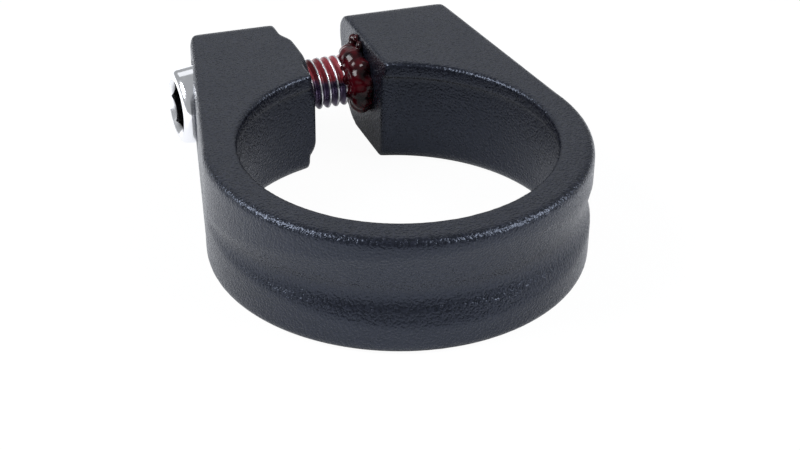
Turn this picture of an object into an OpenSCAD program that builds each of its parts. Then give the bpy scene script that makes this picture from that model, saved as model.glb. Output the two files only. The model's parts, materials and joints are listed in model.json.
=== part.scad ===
// Seatpost clamp: a forged split collar with two ears and one socket-head bolt.
// The ring axis is Z, with the lip on top, and the ears point to +Y.
// The bolt lies along X with its head on the -X side, and z = 0 is the collar's middle plane.

/* [Band] */
// Diameter of the bore that grips the seat tube
bore_d = 34.9; // [30:0.1:40]
// Wall of the band, from the bore to its outer face
band_wall = 2.6; // [1.8:0.1:4]
// Height of the whole collar
collar_h = 12.8; // [11.4:0.1:16]
// Rounding of the outer top and bottom edges
edge_r = 0.8; // [0.4:0.1:1.2]
// Rounding at the foot of the bore
bore_foot_r = 1.5; // [0.3:0.1:1.8]

/* [Lip] */
// How far the lip reaches in from the bore
lip_reach = 1.05; // [0.5:0.05:2]
// Height of the lip
lip_h = 1.9; // [1.4:0.1:3]
// Rounding of the corner under the lip
lip_root_r = 0.6; // [0.2:0.1:0.8]
// Rounding of the lip's inner edges
lip_edge_r = 0.3; // [0.1:0.05:0.5]

/* [Waist] */
// Depth of the waist that is pressed into the front of the band
waist_depth = 1.05; // [0.4:0.05:1.3]
// Height of the narrowest point of the waist below the middle plane
waist_low = 0.1; // [-0.5:0.1:1]
// Radius of the waist's own hollow
waist_hollow_r = 3; // [2:0.1:4]
// Height of the slope that leads down into the waist from above
waist_slope_h = 4; // [3:0.1:4.5]
// Height of the softer shoulder under the waist
shoulder_h = 1.6; // [1:0.1:2.5]
// Angle behind the X axis at which the waist has run out
waist_end_angle = 6; // [0:1:8]

/* [Ears] */
// Width of the slot between the ears
slot_w = 8.4; // [6:0.1:10]
// How far the slot's middle is set towards the tapped ear
slot_set = 0.5; // [0:0.1:1]
// Distance from the bolt axis to the back of the ears
ear_back = 6.8; // [6.5:0.1:10]
// Angle by which each flank runs in towards the back
flank_angle = 9.5; // [5:0.5:14]
// Angle by which the ears are turned towards the tapped side, about the ring axis
ear_turn = 3.5; // [0:0.5:4]
// Rounding of the upper back edge
ear_top_r = 2.6; // [2:0.1:5]
// Rounding of the lower back edge
ear_foot_r = 4.7; // [3:0.1:5.5]
// How far the lower back edge is set in from the upper one
ear_foot_set = 1.6; // [0.5:0.1:3]
// Rounding of the outer back corners, seen from above
ear_corner_r = 4; // [1:0.1:4]

/* [Boss] */
// Diameter of the round boss on the head side of the slot
boss_d = 14; // [11:0.1:16]
// How far the boss's centre is set from the bolt axis towards the bore
boss_set = 1.2; // [0:0.1:1.5]
// How far the boss stands out into the slot
boss_h = 0.8; // [0.4:0.1:1.5]
// Bevel round the boss
boss_bevel = 0.5; // [0.1:0.1:0.6]

/* [Bolt] */
// Distance from the ring axis to the bolt axis
bolt_y = 24.4; // [23:0.1:26]
// Height of the bolt axis above the middle plane
bolt_z = 0.7; // [0:0.1:1]
// Nominal diameter of the thread
thread_d = 6; // [5:0.1:6.5]
// Length of the bolt under its head
shank_l = 28; // [20:0.5:28]
// Diameter of the head where it seats
head_d = 9.2; // [8.6:0.1:10]
// Diameter to which the head tapers at its outer face
head_face_d = 8.2; // [7.6:0.1:9]
// Height of the head
head_h = 5; // [4:0.1:6]
// Rounding round the head's outer face
head_edge_r = 0.8; // [0.3:0.1:1]
// Size of the hexagon socket across its flats
socket_af = 5; // [4:0.5:6]
// Depth of the hexagon socket
socket_depth = 3; // [2:0.1:3.5]
// Bevel at the bolt's tip
tip_bevel = 0.6; // [0.3:0.1:1]

/* [Bolt holes] */
// Play between the thread and its tapped hole, on the radius
thread_play = 0.05; // [0.02:0.01:0.1]
// Play round the shank in the ear on the head side, on the radius
shank_play = 0.3; // [0.1:0.05:0.5]
// Play round the head in its pocket, on the radius
head_play = 0.25; // [0.1:0.05:0.5]
// Metal that the head clamps, from the pocket's floor to the slot
grip_t = 8.3; // [6:0.1:9]
// Bevel at the mouth of the tapped hole, in the slot
tap_bevel = 0.4; // [0.1:0.1:0.8]

/* [Thread lock] */
// Radius of the bead of compound at the mouth of the tapped hole
bead_r = 1.7; // [1:0.1:2.2]
// Gap between the bead and the thread
bead_play = 0.08; // [0.03:0.01:0.1]

/* [Hidden] */
$fn = 96;
bite = 1;
flank_set = 0.05;
bore_r = bore_d / 2;
band_r = bore_r + band_wall;
lip_r = bore_r - lip_reach;
half_h = collar_h / 2;
lip_z = half_h - lip_h;
bolt_r = thread_d / 2 - thread_play;
head_slot_x = slot_set - slot_w / 2;
tapped_slot_x = slot_set + slot_w / 2;
seat_x = head_slot_x - grip_t;
ear_reach = bolt_y + ear_back;
corner_y = ear_reach - ear_corner_r;
flank_r = band_r - flank_set;
corner_x = (flank_r - ear_corner_r - corner_y * sin(flank_angle)) / cos(flank_angle);
flank_l = ear_reach / cos(flank_angle);
waist_shift = waist_depth / (1 + sin(waist_end_angle));
waist_r = band_r + waist_shift;

// A point on a circle of radius r round c, at angle a
function on_circle(c, r, a) = c + r * [cos(a), sin(a)];

// The angle of the line that touches two circles on their outer side
function outer_tangent_angle(low, low_r, high, high_r) =
    let (step = high - low)
    atan2(step[1], step[0]) - acos((low_r - high_r) / norm(step));

// What a rounding of radius r takes off a square corner at the origin
module corner_cut(r) {
    difference() {
        translate([-r, -r]) square(r + bite);
        translate([-r, -r]) circle(r);
    }
}

// What the rounding of the outer top and bottom edges takes off, at that distance
module outer_edge_cuts(distance) {
    for (end = [0, 1])
        mirror([0, end]) translate([distance, half_h]) corner_cut(edge_r);
}

// The band's own section, with its outer edges rounded
module band_section() {
    difference() {
        translate([0, -half_h]) square([band_r, collar_h]);
        outer_edge_cuts(band_r);
    }
}

// Goes round the front with a section drawn at its radius from the waist's own axis,
// which lies waist_shift behind the ring's, so that a cut runs out where the flanks begin
module round_front() {
    translate([0, waist_shift, -waist_low])
        rotate([0, 0, 180 - waist_end_angle])
            rotate_extrude(angle = 180 + 2 * waist_end_angle) children();
}

// The hollow of the waist
module waist_hollow() {
    round_front() translate([waist_r - waist_depth + waist_hollow_r, 0]) circle(waist_hollow_r);
}

// The slope that leads down into the hollow
module waist_slope() {
    foot = [waist_r - 0.8 * waist_depth, 1];
    round_front()
        polygon([foot, [waist_r, foot[1] + waist_slope_h], [waist_r + bite, foot[1] + waist_slope_h],
                 [waist_r + bite, foot[1]]]);
}

// What is taken off the hollow's lower edge, for a softer shoulder
module waist_shoulder() {
    foot = [waist_r - 0.5 * waist_depth, -1.7];
    round_front()
        polygon([foot, [waist_r, foot[1] - shoulder_h], [waist_r + bite, foot[1] - shoulder_h],
                 [waist_r + bite, foot[1]]]);
}

// Extrudes a section of the band back along the tangent that touches it at an angle
module along_tangent(angle, length) {
    rotate([90, 0, angle]) translate([0, 0, -length]) linear_extrude(length + bite) children();
}

// The ears seen from above, as one block before the slot is cut
module ears_plan() {
    for (side = [0, 1])
        mirror([side, 0])
            union() {
                polygon([[0, 0],
                         on_circle([0, 0], flank_r, flank_angle),
                         on_circle([corner_x, corner_y], ear_corner_r, flank_angle),
                         [corner_x, ear_reach],
                         [0, ear_reach]]);
                translate([corner_x, corner_y]) circle(ear_corner_r);
            }
}

// The ears seen from the side: flat above and below, rounded at the back
module ears_side() {
    high = [ear_reach - ear_top_r, half_h - ear_top_r];
    low = [ear_reach - ear_foot_set - ear_foot_r, ear_foot_r - half_h];
    back = outer_tangent_angle(low, ear_foot_r, high, ear_top_r);
    polygon([[0, -half_h], [low[0], -half_h],
             on_circle(low, ear_foot_r, back),
             on_circle(high, ear_top_r, back),
             [high[0], half_h], [0, half_h]]);
    translate(high) circle(ear_top_r);
    translate(low) circle(ear_foot_r);
}

// The block of both ears, with its flanks' long edges rounded
module ears() {
    rotate([0, 0, -ear_turn]) difference() {
        intersection() {
            translate([0, 0, -half_h]) linear_extrude(collar_h) ears_plan();
            rotate([90, 0, 90])
                translate([0, 0, -band_r]) linear_extrude(2 * band_r) ears_side();
        }
        for (side = [0, 1])
            mirror([side, 0, 0]) along_tangent(flank_angle, flank_l) outer_edge_cuts(flank_r);
    }
}

// The bore, the smaller opening inside the lip and their rounded edges
module bore() {
    rotate_extrude() {
        difference() {
            translate([0, -half_h - bite]) square([bore_r, half_h + lip_z + bite]);
            translate([bore_r, lip_z]) corner_cut(min(lip_root_r, lip_reach - lip_edge_r));
        }
        square([lip_r, half_h + bite]);
        translate([bore_r, -half_h]) mirror([1, 0]) mirror([0, 1]) corner_cut(bore_foot_r);
        translate([lip_r, half_h]) mirror([1, 0]) corner_cut(lip_edge_r);
        translate([lip_r, lip_z]) mirror([1, 0]) mirror([0, 1]) corner_cut(lip_edge_r);
    }
}

// The slot that splits the collar
module slot() {
    translate([head_slot_x, 0, -half_h - bite])
        cube([slot_w, ear_reach + 2 * bite, collar_h + 2 * bite]);
}

// Turns and moves what is drawn along Z onto the bolt axis, at distance x along it
module on_bolt_axis(x) {
    translate([x, bolt_y, bolt_z]) rotate([0, 90, 0]) children();
}

// The round boss on the head side of the slot
module boss() {
    intersection() {
        ears();
        translate([0, -boss_set, -bolt_z]) on_bolt_axis(head_slot_x) {
            translate([0, 0, -bite]) cylinder(d = boss_d, h = bite + boss_h - boss_bevel);
            translate([0, 0, boss_h - boss_bevel])
                cylinder(d1 = boss_d, d2 = boss_d - 2 * boss_bevel, h = boss_bevel);
        }
    }
}

// The clear hole and the head's pocket in one ear, the tapped hole in the other
module bolt_holes() {
    on_bolt_axis(seat_x - bite) cylinder(r = bolt_r + shank_play, h = grip_t + boss_h + 2 * bite);
    on_bolt_axis(seat_x - band_r) cylinder(d = head_d + 2 * head_play, h = band_r);
    on_bolt_axis(tapped_slot_x - bite) cylinder(d = thread_d, h = band_r);
    on_bolt_axis(tapped_slot_x) cylinder(d1 = thread_d + 2 * tap_bevel, d2 = thread_d, h = tap_bevel);
}

// The band and both ears, split by the slot
module split_ring() {
    difference() {
        union() {
            rotate_extrude() band_section();
            ears();
        }
        slot();
    }
}

// The split ring with its waist, each cut made on the form that the one before it leaves
module waisted_ring() {
    difference() {
        difference() {
            difference() {
                split_ring();
                waist_hollow();
            }
            waist_slope();
        }
        waist_shoulder();
    }
}

module collar() {
    color("#26282c")
        difference() {
            union() {
                waisted_ring();
                boss();
            }
            bore();
            bolt_holes();
        }
}

// The tapered head's section, measured from its seat at height 0 down to its face
module head_section() {
    taper = atan2(head_d - head_face_d, 2 * head_h);
    face = -head_h;
    round_z = face + head_edge_r;
    round_r = head_d / 2 + (round_z * sin(taper) - head_edge_r) / cos(taper);
    polygon([[0, 0], [head_d / 2, 0],
             on_circle([round_r, round_z], head_edge_r, -taper),
             [round_r, round_z], [round_r, face], [0, face]]);
    translate([round_r, round_z]) circle(head_edge_r);
}

module bolt() {
    color("#c9cacd")
        on_bolt_axis(seat_x)
            difference() {
                union() {
                    rotate_extrude() head_section();
                    cylinder(r = bolt_r, h = shank_l - tip_bevel);
                    translate([0, 0, shank_l - tip_bevel])
                        cylinder(r1 = bolt_r, r2 = bolt_r - tip_bevel, h = tip_bevel);
                }
                translate([0, 0, -head_h - bite])
                    cylinder(d = socket_af / cos(30), h = socket_depth + bite, $fn = 6);
            }
}

// The bead of thread-locking compound that was squeezed out of the tapped hole
module thread_lock() {
    color("#4a0a14")
        on_bolt_axis(tapped_slot_x)
            mirror([0, 0, 1])
                rotate_extrude()
                    translate([bolt_r + bead_play, 0])
                        intersection() {
                            circle(bead_r);
                            square(bead_r);
                        }
}

collar();
bolt();
thread_lock();
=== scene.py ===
"""Seatpost clamp: a powder-coated split collar with a plated socket-head bolt and thread-locking compound."""

import json
import math

import bmesh
import bpy
from mathutils import Euler, Matrix, Vector, noise


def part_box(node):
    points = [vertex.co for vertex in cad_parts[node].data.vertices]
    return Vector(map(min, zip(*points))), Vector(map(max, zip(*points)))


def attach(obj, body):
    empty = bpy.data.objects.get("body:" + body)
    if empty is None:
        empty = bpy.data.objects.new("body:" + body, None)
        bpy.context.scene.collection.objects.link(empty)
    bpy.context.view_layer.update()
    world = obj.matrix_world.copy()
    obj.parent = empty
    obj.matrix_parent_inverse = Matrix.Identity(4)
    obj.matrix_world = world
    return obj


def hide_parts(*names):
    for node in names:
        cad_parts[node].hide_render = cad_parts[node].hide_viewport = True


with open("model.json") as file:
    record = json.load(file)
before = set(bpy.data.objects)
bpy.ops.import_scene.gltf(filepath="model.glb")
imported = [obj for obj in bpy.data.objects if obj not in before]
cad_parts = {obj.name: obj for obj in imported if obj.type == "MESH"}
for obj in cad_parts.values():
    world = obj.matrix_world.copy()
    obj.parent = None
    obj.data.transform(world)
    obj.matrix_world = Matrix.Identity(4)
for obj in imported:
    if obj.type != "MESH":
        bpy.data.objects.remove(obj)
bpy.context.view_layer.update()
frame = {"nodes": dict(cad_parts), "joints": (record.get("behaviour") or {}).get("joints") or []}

MM = 0.001

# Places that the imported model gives, in metres
BOLT_Y = frame["joints"][0]["pos_m"][1]
BOLT_Z = frame["joints"][0]["pos_m"][2]
BOLT_LOW, BOLT_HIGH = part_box("bolt")
UNDERSIDE_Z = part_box("collar")[0].z
TAPPED_FACE_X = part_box("thread_lock")[1].x

# The bolt's tapered head, with a hexagon socket that is countersunk at its mouth and coned at its bottom
HEAD_H = 5 * MM
HEAD_SEAT_R = 4.6 * MM
HEAD_SEAT_BREAK = 0.15 * MM
HEAD_FACE_R = 4.1 * MM
HEAD_EDGE_R = 0.8 * MM
HEAD_EDGE_OUT = 0.06 * MM
HEAD_EDGE_STEPS = 5
HEAD_STEPS = 72
HEAD_MERGE = 0.002 * MM
FACE_X = BOLT_LOW.x
SEAT_X = FACE_X + HEAD_H
SOCKET_AF = 5 * MM
SOCKET_DEPTH = 3 * MM
SOCKET_SIDES = 6
COUNTERSINK_W = 0.3 * MM
COUNTERSINK_SLOPE = 0.8
CONE_DEPTH = 0.7 * MM
CONE_TIP_SHARE = 0.05

# The bolt's M6 thread
CREST_R = 2.95 * MM
CREST_ROUND = 0.06 * MM
ROOT_R = 2.42 * MM
ROOT_ROUND = 0.08 * MM
PITCH = 1 * MM
TIP_BEVEL = 0.6 * MM
SHANK_L = BOLT_HIGH.x - SEAT_X
SHANK_IN_HEAD = 0.3 * MM
SPARE_TURNS = 3
TURN_STEPS = 48
THREAD_MERGE = 0.005 * MM
SHARP_ANGLE = math.radians(32)

# One turn of the thread: radius, and height as a share of the pitch
THREAD_SECTION = [
    (CREST_R, 0), (CREST_R, 0.1), (CREST_R - CREST_ROUND, 0.16), (ROOT_R + ROOT_ROUND, 0.42),
    (ROOT_R, 0.5), (ROOT_R, 0.58), (ROOT_R + ROOT_ROUND, 0.66), (CREST_R - CREST_ROUND, 0.93),
    (CREST_R, 1),
]

# How the powder coat rounds a sharp edge: the remeshed collar's step, and how often it is smoothed
COAT_STEP = 0.26 * MM
COAT_ROUNDS = 5
COLLAR_MERGE = 0.001 * MM

# The powder coat's finish. Here and below, a scale is in cells a metre, and a span is the part of a noise's
# range over which the finish changes
COAT_GRAIN_SCALE = 4000
COAT_CLOUD_SCALE = 160
COAT_TONE_SPAN = (0.38, 0.66)
COAT_GRAIN_SPAN = (0.3, 0.7)
COAT_CLOUD_SPAN = (0.35, 0.65)
COAT_DARK = (0.002, 0.0023, 0.004)
COAT_LIGHT = (0.006, 0.0066, 0.011)
COAT_GRAIN_ROUGHNESS = (0.22, 0.3)
COAT_CLOUD_ROUGHNESS = 0.05
COAT_SPECULAR = 0.42
COAT_SHEEN = (0.7, 0.79, 1, 1)
COAT_BUMP = 0.1 * MM

# The plated steel's finish: its colour, the painted shade that darkens it in the thread's grooves and in the
# socket, and how much duller (rougher) it is in the thread and the socket
STEEL = (0.88, 0.88, 0.9)
STEEL_PAINTED_SHADE_IN_GROOVE = (0.15, 0.12, 0.19)
STEEL_PAINTED_SHADE_IN_SOCKET = (0.035, 0.036, 0.04)
STEEL_ROUGHNESS = (0.1, 0.22)
STEEL_DULLED = 0.14
STEEL_WEAR_SCALE = 900
STEEL_WEAR_SPAN = (0.3, 0.75)
STEEL_BUMP = 0.01 * MM

# Where the steel is a groove, the thread or the inside of the socket, and so gets painted shade or a duller
# finish: from where the change starts to where it is whole, in metres from the axis or along it
GROOVE_R = (CREST_R - 0.03 * MM, CREST_R - 0.11 * MM)
THREAD_START_X = (-6 * MM, -5 * MM)
THREAD_END_X = (BOLT_HIGH.x - TIP_BEVEL, BOLT_HIGH.x - 2 * TIP_BEVEL)
SOCKET_R = (3 * MM, 2.85 * MM)
SOCKET_START_X = (FACE_X + 0.15 * MM, FACE_X + 0.7 * MM)
SOCKET_END_X = (SEAT_X - 0.6 * MM, SEAT_X - 1 * MM)

# The film of compound in the grooves: all round near the tapped hole, elsewhere on the side that leans up and
# back, with ragged borders
FILM = (0.2, 0.02, 0.028)
FILM_NEAR_HOLE_X = (2 * MM, 3.2 * MM)
FILM_UPPER_SIDE = (-0.6 * MM, 0.1 * MM)
FILM_LEAN_UP = 0.85
FILM_LEAN_BACK = 0.53
RAGGED_SCALE = 600
RAGGED_ALONG = 4 * MM
RAGGED_ROUND = 3 * MM

# The squeezed-out compound: its finish, and how its lumps run together and are roughened
COMPOUND_THICK = (0.003, 0.0003, 0.0009)
COMPOUND_THIN = (0.06, 0.002, 0.005)
COMPOUND_DEPTH_SCALE = 500
COMPOUND_DEPTH_SPAN = (0.35, 0.7)
COMPOUND_RIPPLE_SCALE = 900
COMPOUND_ROUGHNESS = 0.17
COMPOUND_SPECULAR = 0.22
COMPOUND_BUMP = 0.04 * MM
COMPOUND_STEP = 0.14 * MM
COMPOUND_ROUNDS = 14
UNEVEN_SCALE = 700
UNEVEN_H = 0.12 * MM

# Lumps of compound round the thread: angle round the bolt from +Y towards +Z, distance from the axis,
# distance out of the tapped face, and radius, in degrees and millimetres
LUMPS = [
    (0, 2.9, 0.4, 0.8), (25, 2.9, 0.5, 0.9), (50, 2.9, 0.6, 1.05), (75, 2.9, 0.8, 1.2), (95, 2.95, 1.0, 1.3),
    (115, 3.1, 1.0, 1.4), (135, 3.3, 0.9, 1.45), (155, 3.5, 0.9, 1.45), (175, 3.6, 0.8, 1.45),
    (195, 3.5, 0.8, 1.35), (215, 3.3, 0.7, 1.25), (235, 3.0, 0.6, 1.15), (258, 2.8, 0.5, 1.0),
    (280, 2.8, 0.4, 0.85), (305, 2.8, 0.4, 0.8), (335, 2.8, 0.4, 0.75),
    (95, 2.6, 1.8, 0.75), (125, 2.65, 2.0, 0.8), (155, 2.7, 2.0, 0.85), (190, 2.7, 1.8, 0.8),
    (165, 4.3, 0.3, 0.9), (140, 4.2, 0.4, 0.9),
    (72, 4.4, 0.1, 0.7), (88, 4.8, 0.1, 0.5), (103, 4.6, 0.1, 0.55),
]

# The camera, fitted to the photograph's rims, ears and bolt
CAMERA_AZIMUTH = math.radians(-21.97)
CAMERA_ELEVATION = math.radians(32.03)
CAMERA_ROLL = math.radians(0.7)
CAMERA_DISTANCE = 170.2 * MM
CAMERA_TARGET = Vector((-2.46, -6.85, 0.3)) * MM
CAMERA_LENS = 76.5
CAMERA_SENSOR_W = 36
CAMERA_CLIP = 10 * MM

# Softboxes that point at the origin: name, place, and width and height in metres, and power in watts
SOFTBOXES = [
    ("softbox_left", (-0.27, 0.057, 0.235), (0.2, 0.2), 1.9),
    ("softbox_right", (0.234, -0.146, 0.235), (0.2, 0.2), 1.6),
    ("softbox_back", (0.06, 0.34, 0.24), (0.4, 0.18), 0.15),
]
LAMP_COLOUR = (0.95, 0.97, 1)

# The floor, and how much of it glows for the camera and for polished and clear surfaces
FLOOR_COLOUR = (0.85, 0.85, 0.86, 1)
FLOOR_ROUGHNESS = 0.9
FLOOR_HALF_SIZE = 1500 * MM
FLOOR_GAP = 0.02 * MM
FLOOR_GLOW_SEEN = 0.96
FLOOR_GLOW_MIRRORED = 0.15

# The room: its colour, and its strength as a light and as what is seen of it
ROOM_COLOUR = (0.94, 0.97, 1, 1)
ROOM_LIGHT = 0.25
ROOM_SEEN = 0.4


def new_material(name):
    """A new material, with its node tree and its principled shader."""
    material = bpy.data.materials.new(name)
    material.use_nodes = True
    tree = material.node_tree
    shader = tree.nodes["Principled BSDF"]
    return material, tree, shader


def node(tree, kind, **settings):
    """A new shader node with its settings."""
    made = tree.nodes.new(kind)
    for name, value in settings.items():
        setattr(made, name, value)
    return made


def noise_field(tree, scale, detail=2.0):
    """Noise on Object coordinates."""
    place = node(tree, "ShaderNodeTexCoord")
    field = node(tree, "ShaderNodeTexNoise")
    field.inputs["Scale"].default_value = scale
    field.inputs["Detail"].default_value = detail
    tree.links.new(place.outputs["Object"], field.inputs["Vector"])
    return field.outputs["Fac"]


def ramp(tree, source, low, high, to_low=0.0, to_high=1.0):
    """Maps source from low..high to to_low..to_high, smoothly and clamped."""
    mapped = node(tree, "ShaderNodeMapRange", interpolation_type="SMOOTHSTEP")
    mapped.inputs["From Min"].default_value = low
    mapped.inputs["From Max"].default_value = high
    mapped.inputs["To Min"].default_value = to_low
    mapped.inputs["To Max"].default_value = to_high
    tree.links.new(source, mapped.inputs["Value"])
    return mapped.outputs["Result"]


def combined(tree, operation, first, second=0.0):
    """One step of arithmetic on sockets or numbers."""
    step = node(tree, "ShaderNodeMath", operation=operation)
    for socket, value in zip(step.inputs, (first, second)):
        if isinstance(value, (int, float)):
            socket.default_value = value
        else:
            tree.links.new(value, socket)
    return step.outputs[0]


def mixed_colour(tree, factor, first, second):
    """Mixes two colours. Either one is a colour or an output socket."""
    mix = node(tree, "ShaderNodeMix", data_type="RGBA")
    tree.links.new(factor, mix.inputs["Factor"])
    for slot_name, colour in (("A", first), ("B", second)):
        socket = [s for s in mix.inputs if s.name == slot_name and s.type == "RGBA"][0]
        if isinstance(colour, tuple):
            socket.default_value = (*colour, 1)
        else:
            tree.links.new(colour, socket)
    return [s for s in mix.outputs if s.type == "RGBA"][0]


def bumped(tree, shader, heights, distance):
    """Gives a shader's surface a bump of the given height in metres."""
    bump = node(tree, "ShaderNodeBump")
    bump.inputs["Distance"].default_value = distance
    bump.inputs["Strength"].default_value = 1.0
    tree.links.new(heights, bump.inputs["Height"])
    tree.links.new(bump.outputs["Normal"], shader.inputs["Normal"])


def powder_coat():
    """Fine-textured black powder coat: near black, with a soft sheen broken up by grain."""
    material, tree, shader = new_material("black_powder_coat")
    grain = noise_field(tree, COAT_GRAIN_SCALE, detail=1.0)
    cloud = noise_field(tree, COAT_CLOUD_SCALE)
    tone = mixed_colour(tree, ramp(tree, grain, *COAT_TONE_SPAN), COAT_DARK, COAT_LIGHT)
    tree.links.new(tone, shader.inputs["Base Color"])
    rough_grain = ramp(tree, grain, *COAT_GRAIN_SPAN, *COAT_GRAIN_ROUGHNESS)
    rough_cloud = ramp(tree, cloud, *COAT_CLOUD_SPAN, 0.0, COAT_CLOUD_ROUGHNESS)
    tree.links.new(combined(tree, "ADD", rough_grain, rough_cloud), shader.inputs["Roughness"])
    shader.inputs["Specular IOR Level"].default_value = COAT_SPECULAR
    shader.inputs["Specular Tint"].default_value = COAT_SHEEN
    bumped(tree, shader, grain, COAT_BUMP)
    return material


def places_on_bolt(tree):
    """Where a point of the bolt lies: along the axis, behind it, above it, and its distance from it."""
    place = node(tree, "ShaderNodeTexCoord")
    parts = node(tree, "ShaderNodeSeparateXYZ")
    tree.links.new(place.outputs["Object"], parts.inputs[0])
    behind = combined(tree, "SUBTRACT", parts.outputs["Y"], BOLT_Y)
    above = combined(tree, "SUBTRACT", parts.outputs["Z"], BOLT_Z)
    squares = combined(tree, "ADD", combined(tree, "MULTIPLY", behind, behind),
                       combined(tree, "MULTIPLY", above, above))
    return parts.outputs["X"], behind, above, combined(tree, "SQRT", squares)


def film_cover(tree, along, behind, above):
    """Where the compound lies in the grooves: 1 near the tapped hole and on the upper side, else 0."""
    ragged = combined(tree, "SUBTRACT", noise_field(tree, RAGGED_SCALE, detail=3.0), 0.5)
    reach = combined(tree, "ADD", along, combined(tree, "MULTIPLY", ragged, RAGGED_ALONG))
    leaning = combined(tree, "ADD", combined(tree, "MULTIPLY", above, FILM_LEAN_UP),
                       combined(tree, "MULTIPLY", behind, FILM_LEAN_BACK))
    height = combined(tree, "ADD", leaning, combined(tree, "MULTIPLY", ragged, RAGGED_ROUND))
    near_hole = ramp(tree, reach, *FILM_NEAR_HOLE_X)
    upper_side = ramp(tree, height, *FILM_UPPER_SIDE)
    return combined(tree, "MAXIMUM", near_hole, upper_side)


def stretch(tree, along, start, end):
    """1 from the start to the end of a stretch of the bolt, else 0, with soft ends."""
    return combined(tree, "MULTIPLY", ramp(tree, along, *start), ramp(tree, along, *end))


def plated_steel():
    """Bright plated steel, with painted shade in the socket and in the thread's grooves, which hold dark red
    compound.
    """
    material, tree, shader = new_material("plated_steel")
    along, behind, above, radius = places_on_bolt(tree)
    on_thread = stretch(tree, along, THREAD_START_X, THREAD_END_X)
    in_groove = combined(tree, "MULTIPLY", ramp(tree, radius, *GROOVE_R), on_thread)
    film = combined(tree, "MULTIPLY", in_groove, film_cover(tree, along, behind, above))
    in_socket = combined(tree, "MULTIPLY", ramp(tree, radius, *SOCKET_R),
                         stretch(tree, along, SOCKET_START_X, SOCKET_END_X))
    # Painted shade: the steel's colour is darkened in the thread's grooves, where shade falls
    metal = mixed_colour(tree, in_groove, STEEL, STEEL_PAINTED_SHADE_IN_GROOVE)
    # Painted shade: the steel's colour is nearly black inside the socket, where shade falls
    metal = mixed_colour(tree, in_socket, metal, STEEL_PAINTED_SHADE_IN_SOCKET)
    tree.links.new(mixed_colour(tree, film, metal, FILM), shader.inputs["Base Color"])
    tree.links.new(combined(tree, "SUBTRACT", 1.0, film), shader.inputs["Metallic"])
    wear = noise_field(tree, STEEL_WEAR_SCALE, detail=4.0)
    dulled = combined(tree, "MULTIPLY", combined(tree, "MAXIMUM", on_thread, in_socket), STEEL_DULLED)
    polish = combined(tree, "ADD", ramp(tree, wear, *STEEL_WEAR_SPAN, *STEEL_ROUGHNESS), dulled)
    tree.links.new(polish, shader.inputs["Roughness"])
    bumped(tree, shader, wear, STEEL_BUMP)
    return material


def cured_compound():
    """Glossy dark red compound, nearly black where it is thick."""
    material, tree, shader = new_material("cured_thread_lock")
    depth = noise_field(tree, COMPOUND_DEPTH_SCALE, detail=3.0)
    tone = mixed_colour(tree, ramp(tree, depth, *COMPOUND_DEPTH_SPAN), COMPOUND_THICK, COMPOUND_THIN)
    tree.links.new(tone, shader.inputs["Base Color"])
    shader.inputs["Roughness"].default_value = COMPOUND_ROUGHNESS
    shader.inputs["Specular IOR Level"].default_value = COMPOUND_SPECULAR
    bumped(tree, shader, noise_field(tree, COMPOUND_RIPPLE_SCALE), COMPOUND_BUMP)
    return material


def placed(name, bm, material):
    """Makes a bmesh an object of the scene, with its place in its mesh."""
    mesh = bpy.data.meshes.new(name)
    bm.to_mesh(mesh)
    bm.free()
    if material:
        mesh.materials.append(material)
    made = bpy.data.objects.new(name, mesh)
    bpy.context.scene.collection.objects.link(made)
    return made


def finished_piece(name, bm, material, body, replaced):
    """Makes an object from a bmesh, in place, gives it its body and finish, and hides the CAD node it
    replaces.
    """
    bmesh.ops.recalc_face_normals(bm, faces=bm.faces)
    made = placed(name, bm, material)
    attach(made, body)
    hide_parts(replaced)
    return made


def softened(bm, step, rounds):
    """The same form remeshed at an even step and smoothed, which joins its parts and rounds its edges."""
    form = placed("rough_form", bm, None)
    remesh = form.modifiers.new("run_together", "REMESH")
    remesh.mode = "VOXEL"
    remesh.voxel_size = step
    settled = form.modifiers.new("settled", "SMOOTH")
    settled.iterations = rounds
    settled.factor = 0.5
    baked = bpy.data.meshes.new_from_object(form.evaluated_get(bpy.context.evaluated_depsgraph_get()))
    bpy.data.objects.remove(form)
    bm = bmesh.new()
    bm.from_mesh(baked)
    bpy.data.meshes.remove(baked)
    return bm


def cut_off(bm, place, outward):
    """Cuts a bmesh with a plane and takes away what lies outward of it."""
    bmesh.ops.bisect_plane(bm, geom=bm.verts[:] + bm.edges[:] + bm.faces[:], plane_co=place, plane_no=outward,
                           clear_outer=True)


def close_ends(bm):
    """Fills every open end."""
    bmesh.ops.holes_fill(bm, edges=[e for e in bm.edges if e.is_boundary], sides=0)


def profile_line(bm, points):
    """A chain of edges through (radius, height) points, in the plane of X and Z."""
    verts = [bm.verts.new((r, 0, z)) for r, z in points]
    edges = [bm.edges.new(pair) for pair in zip(verts, verts[1:])]
    return verts + edges


def screw_thread():
    """The M6 thread, from just inside the head, whose seat is at height 0, to the bevelled tip."""
    bm = bmesh.new()
    section = profile_line(bm, [(r, (share - SPARE_TURNS / 2) * PITCH) for r, share in THREAD_SECTION])
    turns = math.ceil(SHANK_L / PITCH) + SPARE_TURNS
    bmesh.ops.spin(bm, geom=section, cent=(0, 0, 0), axis=(0, 0, 1), angle=2 * math.pi * turns,
                   steps=TURN_STEPS * turns, dvec=(0, 0, PITCH / TURN_STEPS))
    bmesh.ops.remove_doubles(bm, verts=bm.verts, dist=THREAD_MERGE)
    cut_off(bm, (0, 0, -SHANK_IN_HEAD), (0, 0, -1))
    cut_off(bm, (0, 0, SHANK_L), (0, 0, 1))
    for vert in bm.verts:
        radius = math.hypot(vert.co.x, vert.co.y)
        allowed = CREST_R - max(0, vert.co.z - (SHANK_L - TIP_BEVEL))
        if radius > allowed:
            vert.co.x *= allowed / radius
            vert.co.y *= allowed / radius
    close_ends(bm)
    return bm


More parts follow.
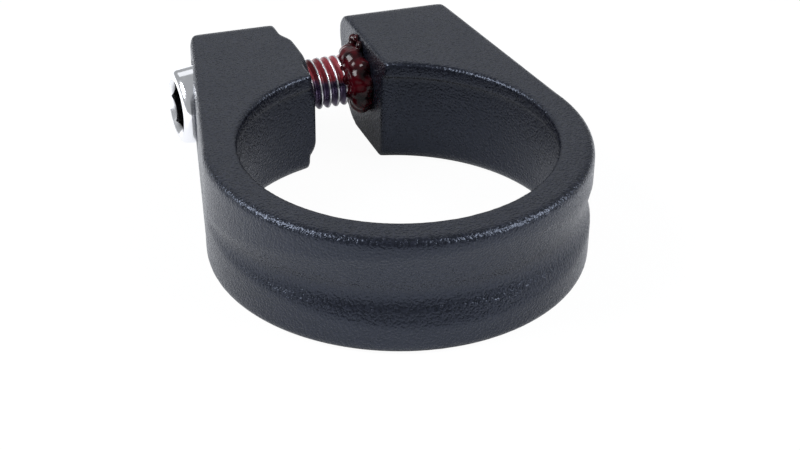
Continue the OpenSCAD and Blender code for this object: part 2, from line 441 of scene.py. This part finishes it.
def head_shell(bm, mouth_r):
    """The head's outside, from the seat at height 0 down to the face, open at the socket's mouth."""
    centre_r = HEAD_FACE_R - HEAD_EDGE_R + HEAD_EDGE_OUT
    centre_z = HEAD_EDGE_R - HEAD_H
    turn = [math.radians(90 * step / HEAD_EDGE_STEPS) for step in range(HEAD_EDGE_STEPS + 1)]
    rounded = [(centre_r + HEAD_EDGE_R * math.cos(a), centre_z - HEAD_EDGE_R * math.sin(a)) for a in turn]
    seat = [(0, 0), (HEAD_SEAT_R - HEAD_SEAT_BREAK, 0), (HEAD_SEAT_R, -HEAD_SEAT_BREAK)]
    outline = profile_line(bm, seat + rounded + [(mouth_r, -HEAD_H)])
    bmesh.ops.spin(bm, geom=outline, cent=(0, 0, 0), axis=(0, 0, 1), angle=2 * math.pi, steps=HEAD_STEPS,
                   use_merge=True)
    bmesh.ops.remove_doubles(bm, verts=bm.verts, dist=HEAD_MERGE)


def bolt_head():
    """The tapered head with its hexagon socket, from the seat at height 0 down to the face."""
    bm = bmesh.new()
    corner_r = SOCKET_AF / math.sqrt(3)
    mouth_r = corner_r + COUNTERSINK_W
    head_shell(bm, mouth_r)
    mouth = [e for e in bm.edges if e.is_boundary]
    bmesh.ops.create_circle(bm, segments=SOCKET_SIDES, radius=corner_r,
                            matrix=Matrix.Translation((0, 0, -HEAD_H)))
    hexagon = [e for e in bm.edges if e.is_wire]
    bmesh.ops.subdivide_edges(bm, edges=hexagon, cuts=HEAD_STEPS // SOCKET_SIDES - 1)
    ring = [e for e in bm.edges if e.is_wire]
    for vert in {v for e in ring for v in e.verts}:
        vert.co.z += COUNTERSINK_SLOPE * (mouth_r - math.hypot(vert.co.x, vert.co.y))
    bmesh.ops.bridge_loops(bm, edges=mouth + ring)
    wall = bmesh.ops.extrude_edge_only(bm, edges=ring)["geom"]
    for vert in [v for v in wall if isinstance(v, bmesh.types.BMVert)]:
        vert.co.z = SOCKET_DEPTH - HEAD_H
    foot = [e for e in wall if isinstance(e, bmesh.types.BMEdge) and e.is_boundary]
    cone = bmesh.ops.extrude_edge_only(bm, edges=foot)["geom"]
    for vert in [v for v in cone if isinstance(v, bmesh.types.BMVert)]:
        vert.co.x *= CONE_TIP_SHARE
        vert.co.y *= CONE_TIP_SHARE
        vert.co.z += CONE_DEPTH
    close_ends(bm)
    return bm


def make_bolt(material):
    """The bolt: thread and head as one piece, turned onto its axis with its head at -X."""
    bm = screw_thread()
    head = bolt_head()
    head_mesh = bpy.data.meshes.new("head_form")
    head.to_mesh(head_mesh)
    head.free()
    bm.from_mesh(head_mesh)
    bpy.data.meshes.remove(head_mesh)
    onto_axis = Matrix.Translation((SEAT_X, BOLT_Y, BOLT_Z)) @ Matrix.Rotation(math.radians(90), 4, "Y")
    bmesh.ops.transform(bm, matrix=onto_axis, verts=bm.verts)
    bolt = finished_piece("socket_head_bolt", bm, material, "bolt", "bolt")
    bolt.data.shade_smooth()
    bolt.data.set_sharp_from_angle(angle=SHARP_ANGLE)


def make_compound(material):
    """The squeezed-out compound: lumps run together, cut flat where they sit on the tapped face."""
    bm = bmesh.new()
    for angle, out, off, radius in LUMPS:
        turn = math.radians(angle)
        centre = Vector((TAPPED_FACE_X - off * MM, BOLT_Y + out * math.cos(turn) * MM,
                         BOLT_Z + out * math.sin(turn) * MM))
        bmesh.ops.create_icosphere(bm, subdivisions=3, radius=radius * MM, matrix=Matrix.Translation(centre))
    bm = softened(bm, COMPOUND_STEP, COMPOUND_ROUNDS)
    for vert in bm.verts:
        vert.co += vert.normal * (noise.noise(vert.co * UNEVEN_SCALE) * UNEVEN_H)
    cut_off(bm, (TAPPED_FACE_X, 0, 0), (1, 0, 0))
    close_ends(bm)
    compound = finished_piece("squeezed_out_compound", bm, material, "collar", "thread_lock")
    compound.data.shade_smooth()


def make_collar(material):
    """The collar's own form, with every sharp edge softened as the coat softens it."""
    bm = bmesh.new()
    bm.from_mesh(frame["nodes"]["collar"].data)
    bmesh.ops.remove_doubles(bm, verts=bm.verts, dist=COLLAR_MERGE)
    bm = softened(bm, COAT_STEP, COAT_ROUNDS)
    collar = finished_piece("split_collar", bm, material, "collar", "collar")
    collar.data.shade_smooth()


def set_camera():
    """The camera on its line of sight, at its distance from the target and rolled a little."""
    back = Vector((math.sin(CAMERA_AZIMUTH) * math.cos(CAMERA_ELEVATION),
                   -math.cos(CAMERA_AZIMUTH) * math.cos(CAMERA_ELEVATION),
                   math.sin(CAMERA_ELEVATION)))
    camera = bpy.data.objects.new("camera", bpy.data.cameras.new("camera"))
    camera.data.lens = CAMERA_LENS
    camera.data.sensor_width = CAMERA_SENSOR_W
    camera.data.clip_start = CAMERA_CLIP
    camera.location = CAMERA_TARGET + back * CAMERA_DISTANCE
    camera.rotation_mode = "QUATERNION"
    level = (-back).to_track_quat("-Z", "Y")
    camera.rotation_quaternion = level @ Euler((0, 0, CAMERA_ROLL)).to_quaternion()
    bpy.context.scene.collection.objects.link(camera)
    bpy.context.scene.camera = camera


def set_softbox(name, place, size, watts):
    """A soft box at place, turned towards the origin."""
    light = bpy.data.lights.new(name, "AREA")
    light.shape = "RECTANGLE"
    light.size, light.size_y = size
    light.energy = watts
    light.color = LAMP_COLOUR
    lamp = bpy.data.objects.new(name, light)
    lamp.location = place
    lamp.rotation_mode = "QUATERNION"
    lamp.rotation_quaternion = (-Vector(place)).to_track_quat("-Z", "Y")
    bpy.context.scene.collection.objects.link(lamp)


def ray_kinds(tree):
    """Whether a ray comes from the camera, and whether it comes from a polished or a clear surface."""
    path = node(tree, "ShaderNodeLightPath")
    mirrored = combined(tree, "MAXIMUM", path.outputs["Is Glossy Ray"], path.outputs["Is Transmission Ray"])
    return path.outputs["Is Camera Ray"], mirrored


def set_floor():
    """A pale floor that the camera sees as nearly white, with the clamp's shadow kept faint."""
    material, tree, shader = new_material("pale_floor")
    shader.inputs["Base Color"].default_value = FLOOR_COLOUR
    shader.inputs["Roughness"].default_value = FLOOR_ROUGHNESS
    glow = node(tree, "ShaderNodeEmission")
    seen, mirrored = ray_kinds(tree)
    share = combined(tree, "MAXIMUM", combined(tree, "MULTIPLY", seen, FLOOR_GLOW_SEEN),
                     combined(tree, "MULTIPLY", mirrored, FLOOR_GLOW_MIRRORED))
    mix = node(tree, "ShaderNodeMixShader")
    tree.links.new(share, mix.inputs[0])
    tree.links.new(shader.outputs[0], mix.inputs[1])
    tree.links.new(glow.outputs[0], mix.inputs[2])
    tree.links.new(mix.outputs[0], tree.nodes["Material Output"].inputs["Surface"])
    bm = bmesh.new()
    bmesh.ops.create_grid(bm, x_segments=1, y_segments=1, size=FLOOR_HALF_SIZE,
                          matrix=Matrix.Translation((0, 0, UNDERSIDE_Z - FLOOR_GAP)))
    floor = placed("floor", bm, material)


def set_world():
    """A dim room for soft light, which polished and satin surfaces see as a pale one."""
    world = bpy.data.worlds.new("studio")
    bpy.context.scene.world = world
    world.use_nodes = True
    tree = world.node_tree
    light = tree.nodes["Background"]
    light.inputs["Color"].default_value = ROOM_COLOUR
    seen, mirrored = ray_kinds(tree)
    strength = ramp(tree, combined(tree, "MAXIMUM", mirrored, seen), 0, 1, ROOM_LIGHT, ROOM_SEEN)
    tree.links.new(strength, light.inputs["Strength"])


make_collar(powder_coat())
make_bolt(plated_steel())
make_compound(cured_compound())

set_camera()
set_floor()
set_world()
for softbox in SOFTBOXES:
    set_softbox(*softbox)

bpy.context.scene.view_settings.view_transform = "Standard"
